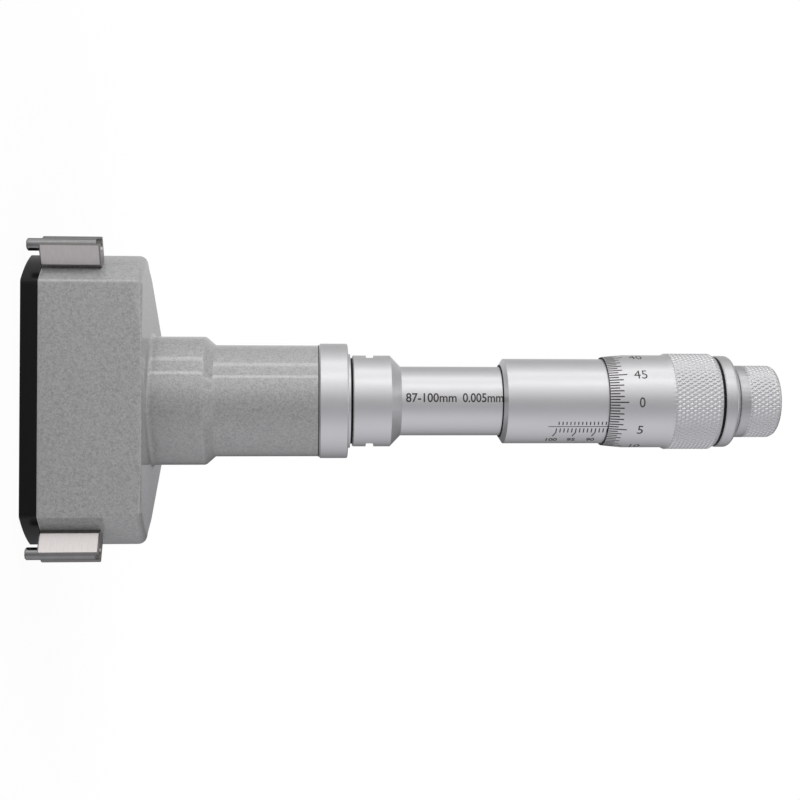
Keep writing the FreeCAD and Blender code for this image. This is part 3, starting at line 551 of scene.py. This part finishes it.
def tube_marking():
    """Plain numbers on the tube: its range and the value of one division."""
    marking = Ink(plain_radius(TUBE_RADIUS))
    for words, z, width in (("87-100mm", 97.62, 12.7), ("0.005mm", 110.65, 10.25)):
        marking.text(words, MARKING_ANGLE, z, MARKING_HEIGHT, width, MARKING_WEIGHT)
    marking.piece("tube_marking", BODY)


sleeve_scale()
thimble_scale()
tube_marking()


# ---------------------------------------------------------------- dark joints, with painted shade in their gaps

JOINT_STEPS = 180
# The body and the closed outline, as radius and height, of the dark line at each joint: a black
# ring that stands for the gap and the painted shade in it
JOINTS = {
    "neck_joint": (BODY, [(14.04, 69.43), (14.2, 69.49), (14.2, 69.59), (14.04, 69.59)]),
    "sleeve_joint": (BODY, [(8.78, 115.62), (9.35, 115.8), (9.35, 115.92), (8.78, 115.92)]),
    "collar_joint": (BODY, [(9.98, 77.48), (10.9, 77.48), (10.9, 78.12), (9.98, 78.12)]),
    "thimble_joint": (
        THIMBLE_BODY, [(10.91, 142.37), (11.37, 142.37), (11.37, 142.45), (10.91, 142.45)]
    ),
}


def joint_ring(name, outline, body):
    """A thin black ring turned from a closed outline: a joint's gap with painted shade in it."""
    vertices = [
        on_cylinder(radius, 2 * math.pi * step / JOINT_STEPS, z)
        for radius, z in outline
        for step in range(JOINT_STEPS)
    ]
    faces = ring_faces(len(outline), JOINT_STEPS)
    make_piece(name, vertices, faces, SEAL_AND_GAP_SHADE, body, smooth=False)


for name, (body, outline) in JOINTS.items():
    joint_ring(name, outline, body)


# ---------------------------------------------------------------- knurled pieces

KNURL_DEPTH = 0.34
# Cuts the crests down a little, so that they aren't points
CREST_GAIN = 1.35


def knurl(angle, z, count, period):
    """The height of a crossed knurl, from 0 in a groove to 1 on a crest."""
    around = count * angle / (2 * math.pi)
    heights = []
    for sign in (-1, 1):
        phase = around + sign * z / period
        heights.append(2 * abs(phase - round(phase)))
    return min(1.0, CREST_GAIN * min(heights))


def turned_mesh(name, rows, count, around, body, period):
    """A closed turned piece from rows of radius, height and share of knurl, in millimetres."""
    vertices = []
    for radius, z, share in rows:
        for step in range(around):
            angle = 2 * math.pi * step / around
            cut = KNURL_DEPTH * share * (1 - knurl(angle, z, count, period)) if share else 0.0
            vertices.append(on_cylinder(radius - cut, angle, z))
    faces = ring_faces(len(rows), around)
    return make_piece(name, vertices, faces, CHROME, body)


EDGE_BREAK = 0.04
# The bevel up to the grip, the smooth start of the grip and the length its knurl deepens over
GRIP_BEVEL, GRIP_LIP, GRIP_RAMP = 0.9, 0.15, 0.5
REAR_CHAMFER, REAR_RADIUS = 1.06, 11.65
THIMBLE_BORE, HUB_BORE, HUB_INNER_RADIUS, HUB_Z = 10.9, 4.82, 5.52, 165.465


def thimble_piece():
    taper_end = THIMBLE_EDGE + TAPER_LENGTH
    plain_end = taper_end + PLAIN_LENGTH
    grip_start = plain_end + GRIP_BEVEL
    chamfer_end = GRIP_END + REAR_CHAMFER
    rows = [
        (THIMBLE_BORE, THIMBLE_EDGE, 0),
        (THIMBLE_EDGE_RADIUS - EDGE_BREAK, THIMBLE_EDGE, 0),
        (THIMBLE_EDGE_RADIUS, THIMBLE_EDGE + EDGE_BREAK, 0),
        (THIMBLE_RADIUS, taper_end, 0),
        (THIMBLE_RADIUS, plain_end, 0),
        (GRIP_RADIUS, grip_start, 0),
    ]
    for z in spread(grip_start + GRIP_LIP, GRIP_END, 96):
        rows.append((GRIP_RADIUS, z, min(1.0, max(0.0, (z - grip_start) / GRIP_RAMP))))
    for z in spread(GRIP_END, chamfer_end, 8)[1:]:
        share = (z - GRIP_END) / (chamfer_end - GRIP_END)
        rows.append((GRIP_RADIUS + (REAR_RADIUS - GRIP_RADIUS) * share, z, 1 - share))
    rows += [(HUB_BORE, chamfer_end, 0), (HUB_INNER_RADIUS, HUB_Z, 0), (THIMBLE_BORE, HUB_Z, 0)]
    thimble = turned_mesh("thimble_turned", rows, 68, 544, THIMBLE_BODY, 2.0)
    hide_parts("thimble")


KNOB_START, KNOB_END, KNOB_RADIUS, KNOB_ROUND = 176.545, 187.595, 9.31, 1.9
# The plain band in front of the knurl, its edge and the length the knurl deepens over
KNOB_BAND, KNOB_EDGE, KNOB_LIP, KNOB_RAMP = 2.55, 0.25, 0.15, 0.6
# Degrees of the rear rounding after which the knurl has run out
KNOB_FADE = 65.0
KNOB_BORE, KNOB_BORE_END = 6.7, 182.745
SCREW_SEAT_RADIUS, SCREW_SEAT_Z, SCREW_HOLE_RADIUS = 4.0, 184.495, 2.04


def knob_piece():
    band_end = KNOB_START + KNOB_BAND
    rows = [
        (KNOB_BORE, KNOB_START, 0),
        (KNOB_RADIUS - KNOB_EDGE, KNOB_START, 0),
        (KNOB_RADIUS, KNOB_START + KNOB_EDGE, 0),
        (KNOB_RADIUS, band_end, 0),
    ]
    for z in spread(band_end + KNOB_LIP, KNOB_END - KNOB_ROUND, 56):
        rows.append((KNOB_RADIUS, z, min(1.0, (z - KNOB_START - KNOB_BAND) / KNOB_RAMP)))
    for turn in spread(0.0, 90.0, 16)[1:]:
        angle = math.radians(turn)
        radius = KNOB_RADIUS - KNOB_ROUND * (1 - math.cos(angle))
        z = KNOB_END - KNOB_ROUND + KNOB_ROUND * math.sin(angle)
        rows.append((radius, z, max(0.0, 1 - turn / KNOB_FADE)))
    rows += [
        (SCREW_SEAT_RADIUS, KNOB_END, 0),
        (SCREW_SEAT_RADIUS, SCREW_SEAT_Z, 0),
        (SCREW_HOLE_RADIUS, SCREW_SEAT_Z, 0),
        (SCREW_HOLE_RADIUS, KNOB_BORE_END, 0),
        (KNOB_BORE, KNOB_BORE_END, 0),
    ]
    knob = turned_mesh("ratchet_knob_turned", rows, 51, 408, "knob", 1.94)
    # Painted shade: the faces in front of the band's end take the darker chrome
    knob.data.materials.append(BAND_SHADE_CHROME)
    for face in knob.data.polygons:
        if face.center.z < band_end * MM:
            face.material_index = 1
    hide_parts("ratchet_knob")


thimble_piece()
knob_piece()


# ---------------------------------------------------------------- head and cover

FLAT, DISC_RADIUS, CORNER_ROUND, LEAST_ROUND = 24.7, 37.0, 1.0, 0.25
FLAT_ANGLES = (30, 150, 270)
HEAD_START, HEAD_END = 4.0, 28.0
FLAT_REAR_ROUND, CORNER_REAR_ROUND = 0.9, 2.2
# The share of half a flat after which the rear rounding grows, and the length it grows over
REAR_GROWTH_START, REAR_GROWTH_LENGTH = 0.62, 0.35
SHOULDER, SHOULDER_END, SHOULDER_ROUND, SHOULDER_TURN = 16.2, 40.849, 1.2, 41.2
# The rounding at the foot of the shoulder
FOOT = 0.9
# The neck behind the shoulder, its end face and the bores inside, as radius and height
NECK_OUTLINE = [
    (15.8, 41.757), (14.22, 43.563), (14.1, 43.7), (14.1, 43.95), (14.1, 69.2), (14.1, 69.5),
    (14.05, 69.55), (11.05, 69.55), (11.05, 44.05), (6.55, 44.05), (6.55, 27.2), (21.0, 27.2),
    (21.0, HEAD_START),
]

# Points of the section from the middle of a flat to near the middle of the arc beside it
HALF_SECTION = [("flat", share * 0.97) for share in spread(0.0, 1.0, 14)]
HALF_SECTION += [("corner", share) for share in spread(0.0, 1.0, 10)]
HALF_SECTION += [("arc", share) for share in (0.06, 0.3, 0.55, 0.8)]
SECTION = []
for flat_angle in FLAT_ANGLES:
    SECTION.append((flat_angle, -1, "arc", 1.0))
    SECTION += [(flat_angle, -1, part, share) for part, share in reversed(HALF_SECTION[1:])]
    SECTION += [(flat_angle, 1, part, share) for part, share in HALF_SECTION]


def section_point(entry, inset):
    """A point of the head's section, set in from its faces."""
    flat_angle, sign, part, share = entry
    rounding = max(CORNER_ROUND - inset, LEAST_ROUND)
    flat, radius = FLAT - inset, DISC_RADIUS - inset
    u = flat - rounding
    v = math.sqrt((radius - rounding) ** 2 - u ** 2)
    lean = math.atan2(v, u)
    if part == "flat":
        x, y = flat, v * share
    elif part == "corner":
        x, y = u + rounding * math.cos(lean * share), v + rounding * math.sin(lean * share)
    else:
        angle = lean + (math.radians(60) - lean) * share
        x, y = radius * math.cos(angle), radius * math.sin(angle)
    turn = math.radians(flat_angle)
    y *= sign
    return x * math.cos(turn) - y * math.sin(turn), x * math.sin(turn) + y * math.cos(turn)


def rear_round(entry):
    """The rear edge is rounded little along the flats and more at the corners."""
    part, share = entry[2:]
    weight = 1.0
    if part == "flat":
        weight = min(1.0, max(0.0, (share - REAR_GROWTH_START) / REAR_GROWTH_LENGTH))
    weight = weight * weight * (3 - 2 * weight)
    return FLAT_REAR_ROUND + (CORNER_REAR_ROUND - FLAT_REAR_ROUND) * weight


def rear_edge_rings():
    """Rings up the sides of the head and round its rear edge."""
    rings = []
    for inset, z in ((0.06, HEAD_START), (0.0, HEAD_START + 0.06), (0.0, HEAD_START + 0.4)):
        rings.append([(*section_point(entry, inset), z) for entry in SECTION])
    rings.append([
        (*section_point(entry, 0.0), HEAD_END - rear_round(entry) - 0.3) for entry in SECTION
    ])
    for turn in spread(0.0, 90.0, 8):
        angle = math.radians(turn)
        ring = []
        for entry in SECTION:
            radius = rear_round(entry)
            ring.append((
                *section_point(entry, radius * (1 - math.cos(angle))),
                HEAD_END - radius * (1 - math.sin(angle)),
            ))
        rings.append(ring)
    return rings


def head_rings():
    """Rings of the head from its front seat over the rear face to the end of the neck and back
    through the bores."""
    rings = rear_edge_rings()
    edge = rings[-1]
    for share in (0.06, 0.5, 0.94, 1.0):
        ring = []
        for x, y, z in edge:
            goal = (SHOULDER + FOOT) / math.hypot(x, y)
            growth = 1 + (goal - 1) * share
            ring.append((x * growth, y * growth, z))
        rings.append(ring)
    profile = []
    for turn in (22.5, 45.0, 67.5, 90.0):
        angle = math.radians(turn)
        profile.append((
            SHOULDER + FOOT * (1 - math.sin(angle)), HEAD_END + FOOT * (1 - math.cos(angle))
        ))
    profile += [(SHOULDER, HEAD_END + 1.3), (SHOULDER, 40.6)]
    for turn in spread(0.0, SHOULDER_TURN, 4):
        angle = math.radians(turn)
        profile.append((
            SHOULDER - SHOULDER_ROUND + SHOULDER_ROUND * math.cos(angle),
            SHOULDER_END + SHOULDER_ROUND * math.sin(angle),
        ))
    for radius, z in profile + NECK_OUTLINE:
        ring = []
        for x, y, _ in edge:
            reach = math.hypot(x, y)
            ring.append((x / reach * radius, y / reach * radius, z))
        rings.append(ring)
    return rings


def head_casting():
    rings = head_rings()
    vertices = [Vector(point) * MM for ring in rings for point in ring]
    faces = ring_faces(len(rings), len(SECTION))
    piece = make_piece("head_casting", vertices, faces, PAINT, BODY)
    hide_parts("head_body")


def cover_plate():
    """The cover with the head's crisper corners."""
    mesh = copied_mesh("front_cover", "cover_plate", COVER)
    u = FLAT - CORNER_ROUND
    v = math.sqrt((DISC_RADIUS - CORNER_ROUND) ** 2 - u ** 2)
    reach, lean = math.hypot(u, v), math.atan2(v, u)
    for vertex in mesh.vertices:
        angle = math.atan2(vertex.co.y, vertex.co.x)
        # Only the outline moves, not the screws' holes and the seat inside it
        if math.hypot(vertex.co.x, vertex.co.y) < (FLAT - 0.1) * MM:
            continue
        # How far the point lies from the middle of the nearest flat, in radians
        off = math.radians(abs((math.degrees(angle) + 30) % 120 - 60))
        if off < math.atan2(v, FLAT):
            radius = FLAT / math.cos(off)
        elif off > lean:
            radius = DISC_RADIUS
        else:
            aside = off - lean
            inner = max(0.0, CORNER_ROUND ** 2 - (reach * math.sin(aside)) ** 2)
            radius = reach * math.cos(aside) + math.sqrt(inner)
        vertex.co.x, vertex.co.y = radius * math.cos(angle) * MM, radius * math.sin(angle) * MM
    piece = add_object("cover_plate", mesh)
    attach(piece, BODY)
    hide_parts("front_cover")


head_casting()
cover_plate()


# ---------------------------------------------------------------- return springs

def return_spring(number):
    """One spring, a copy of the solid's mesh in its place; in the instrument its anvil presses it
    together against the head as it moves out.
    """
    mesh = copied_mesh(f"return_spring_{number}", f"pressed_spring_{number}", SPRING)
    piece = add_object(mesh.name, mesh)
    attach(piece, BODY)
    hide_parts(f"return_spring_{number}")
    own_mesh(piece)


for number, angle in enumerate(ANVIL_ANGLES, 1):
    return_spring(number)


# ---------------------------------------------------------------- floor, light and camera

WHITE = (1.0, 1.0, 1.0, 1.0)
AIR_LIGHT = 0.62
FLOOR_RIM, FLOOR_DROP, FLOOR_GREY = 0.24, 0.0001, 0.85
# The floor shows its shadow in this share near the object, and turns to white further out
GLOW_SHARES, GLOW_DISTANCES = (0.95, 1.0), (0.05, 0.2)
# Brightness of the cards by angle in degrees round Z, as in on_cylinder
CARD_GREYS = [
    (-180, 0.42), (-166, 0.09), (-150, 0.18), (-126, 0.41), (-105, 0.56), (-89, 0.64),
    (-75, 0.70), (-62, 0.71), (-49, 0.66), (-38, 0.56), (-26, 0.46), (-14, 0.40), (-4, 0.42),
    (6, 0.52), (17, 0.74), (28, 0.92), (39, 0.97), (45, 0.96), (47.2, 2.2), (50.8, 2.2),
    (53, 0.95), (64, 0.90), (73, 0.90), (75, 1.75), (82, 1.75), (84, 0.85), (95, 0.76),
    (108, 0.64), (129, 0.48), (150, 0.60), (166, 0.7), (180, 0.42),
]
CARD_STEPS, CARD_RADIUS, CARD_END = 180, 1.2, 6.0
# The cards dim from the first to the second distance along Z
CARD_FALL, CARD_FALL_LEVELS = (0.7, 1.7), (1.0, 0.75)
LAMP_ANGLE, LAMP_REACH, LAMP_HEIGHT, LAMP_TARGET_HEIGHT = 70, 0.62, 0.19, 0.09
LAMP_WIDTH, LAMP_LENGTH, LAMP_POWER = 0.35, 0.9, 3.4


def empty_tree(owner):
    """The owner's node tree, cleared."""
    owner.use_nodes = True
    owner.node_tree.nodes.clear()
    return owner.node_tree


def seen_directly(tree):
    """Is 1 for rays that show the background: from the camera, off metal or through glass."""
    path = add_node(tree, "ShaderNodeLightPath")
    result = path.outputs["Is Camera Ray"]
    for name in ("Is Glossy Ray", "Is Transmission Ray"):
        result = math_node(tree, "MAXIMUM", result, path.outputs[name])
    return result


def mixed(tree, share, first, second, output):
    """Shows the second shader in a share and the first for the rest."""
    mix = add_node(tree, "ShaderNodeMixShader")
    tree.links.new(share, mix.inputs["Fac"])
    tree.links.new(first, mix.inputs[1])
    tree.links.new(second, mix.inputs[2])
    tree.links.new(mix.outputs["Shader"], output.inputs["Surface"])


def stage_floor():
    """A pale round floor that keeps the shadow and turns to plain white at its rim."""
    turns = spread(0.0, 2 * math.pi, 96)[:-1]
    corners = [(FLOOR_RIM * math.cos(a), FLOOR_RIM * math.sin(a), 0.0) for a in turns]
    mesh = bpy.data.meshes.new("floor")
    mesh.from_pydata(corners, [], [tuple(range(len(corners)))])
    floor = add_object("floor", mesh)
    floor.location.z = -FLOOR_DROP
    material = bpy.data.materials.new("floor_white")
    tree = empty_tree(material)
    output = add_node(tree, "ShaderNodeOutputMaterial")
    diffuse = add_node(tree, "ShaderNodeBsdfDiffuse")
    diffuse.inputs["Color"].default_value = (FLOOR_GREY, FLOOR_GREY, FLOOR_GREY, 1.0)
    glow = add_node(tree, "ShaderNodeEmission")
    glow.inputs["Color"].default_value = WHITE
    glow.inputs["Strength"].default_value = 1.0
    coordinates = add_node(tree, "ShaderNodeTexCoord")
    distance = add_node(tree, "ShaderNodeVectorMath", operation="LENGTH")
    tree.links.new(coordinates.outputs["Object"], distance.inputs[0])
    fade = map_range(tree, distance.outputs["Value"], GLOW_SHARES, GLOW_DISTANCES)
    share = math_node(tree, "MULTIPLY", seen_directly(tree), fade)
    mixed(tree, share, diffuse.outputs["BSDF"], glow.outputs["Emission"], output)
    mesh.materials.append(material)
    floor.visible_glossy = False


def white_world():
    """White behind the object, and an even soft light from all round it."""
    world = bpy.data.worlds.new("studio")
    bpy.context.scene.world = world
    tree = empty_tree(world)
    output = add_node(tree, "ShaderNodeOutputWorld")
    backgrounds = []
    for strength in (AIR_LIGHT, 1.0):
        background = add_node(tree, "ShaderNodeBackground")
        background.inputs["Color"].default_value = WHITE
        background.inputs["Strength"].default_value = strength
        backgrounds.append(background.outputs["Background"])
    mixed(tree, seen_directly(tree), *backgrounds, output)


def card_material():
    """A glow whose brightness follows the angle round Z and dims towards the far ends."""
    material = bpy.data.materials.new("card_greys")
    tree = empty_tree(material)
    output = add_node(tree, "ShaderNodeOutputMaterial")
    coordinates = add_node(tree, "ShaderNodeTexCoord")
    parts = add_node(tree, "ShaderNodeSeparateXYZ")
    tree.links.new(coordinates.outputs["Object"], parts.inputs["Vector"])
    flipped = [math_node(tree, "MULTIPLY", parts.outputs[axis], -1.0) for axis in ("X", "Y")]
    angle = math_node(tree, "ARCTAN2", *flipped)
    place = map_range(tree, angle, (0.0, 1.0), (-math.pi, math.pi))
    stops = []
    for degrees, value in CARD_GREYS:
        cool = 1.0 if degrees > 0 else 1.04
        stops.append(((degrees + 180) / 360, (value, value * 0.995, value * cool)))
    glow = add_node(tree, "ShaderNodeEmission")
    tree.links.new(ramp(tree, place, stops), glow.inputs["Color"])
    level = math_node(tree, "ABSOLUTE", parts.outputs["Z"])
    fall = map_range(tree, level, CARD_FALL_LEVELS, CARD_FALL)
    tree.links.new(fall, glow.inputs["Strength"])
    tree.links.new(glow.outputs["Emission"], output.inputs["Surface"])
    return material


def studio_cards():
    """Grey cards round the object that only its gloss shows: bright over the reader's
    shoulder, dim beside the reader and paler again below."""
    vertices, faces = [], []
    for step in range(-CARD_STEPS, CARD_STEPS + 1):
        a = math.radians(step)
        for z in (-CARD_END, CARD_END):
            vertices.append((-CARD_RADIUS * math.sin(a), -CARD_RADIUS * math.cos(a), z))
    for step in range(2 * CARD_STEPS):
        faces.append((2 * step, 2 * step + 1, 2 * step + 3, 2 * step + 2))
    mesh = bpy.data.meshes.new("cards")
    mesh.from_pydata(vertices, [], faces)
    mesh.materials.append(card_material())
    cards = add_object("cards", mesh)
    cards.visible_camera = False
    cards.visible_diffuse = False
    cards.visible_transmission = False
    cards.visible_shadow = False


def key_lamp():
    """One soft box over the reader's shoulder."""
    lamp = bpy.data.lights.new("key_box", "AREA")
    lamp.shape = "RECTANGLE"
    lamp.size, lamp.size_y = LAMP_WIDTH, LAMP_LENGTH
    lamp.energy = LAMP_POWER
    holder = add_object("key_box", lamp)
    turn = math.radians(LAMP_ANGLE)
    place = Vector((-LAMP_REACH * math.sin(turn), -LAMP_REACH * math.cos(turn), LAMP_HEIGHT))
    holder.location = place
    back = (place - Vector((0, 0, LAMP_TARGET_HEIGHT))).normalized()
    side = Vector((0, 0, 1)).cross(back).normalized()
    along = back.cross(side)
    holder.rotation_mode = "QUATERNION"
    holder.rotation_quaternion = Matrix((side, along, back)).transposed().to_quaternion()
    holder.visible_glossy = False


def add_camera():
    """The camera that the outlines in the photograph were solved for."""
    data = bpy.data.cameras.new("camera")
    data.lens = 59.08
    data.sensor_width = 36.0
    data.clip_start, data.clip_end = 0.01, 20.0
    camera = add_object("camera", data)
    place = Vector((7.098, -335.062, 66.613)) * MM
    right = Vector((0.00027822, -0.0707792, 0.99749197))
    up = Vector((-0.99976073, -0.02183724, -0.00127066))
    back = Vector((0.02187241, -0.99725294, -0.07076837))
    turn = Matrix((right, up, back)).transposed()
    camera.matrix_world = Matrix.Translation(place) @ turn.to_4x4()
    bpy.context.scene.camera = camera


stage_floor()
white_world()
studio_cards()
key_lamp()
add_camera()
bpy.context.scene.view_settings.view_transform = "Standard"
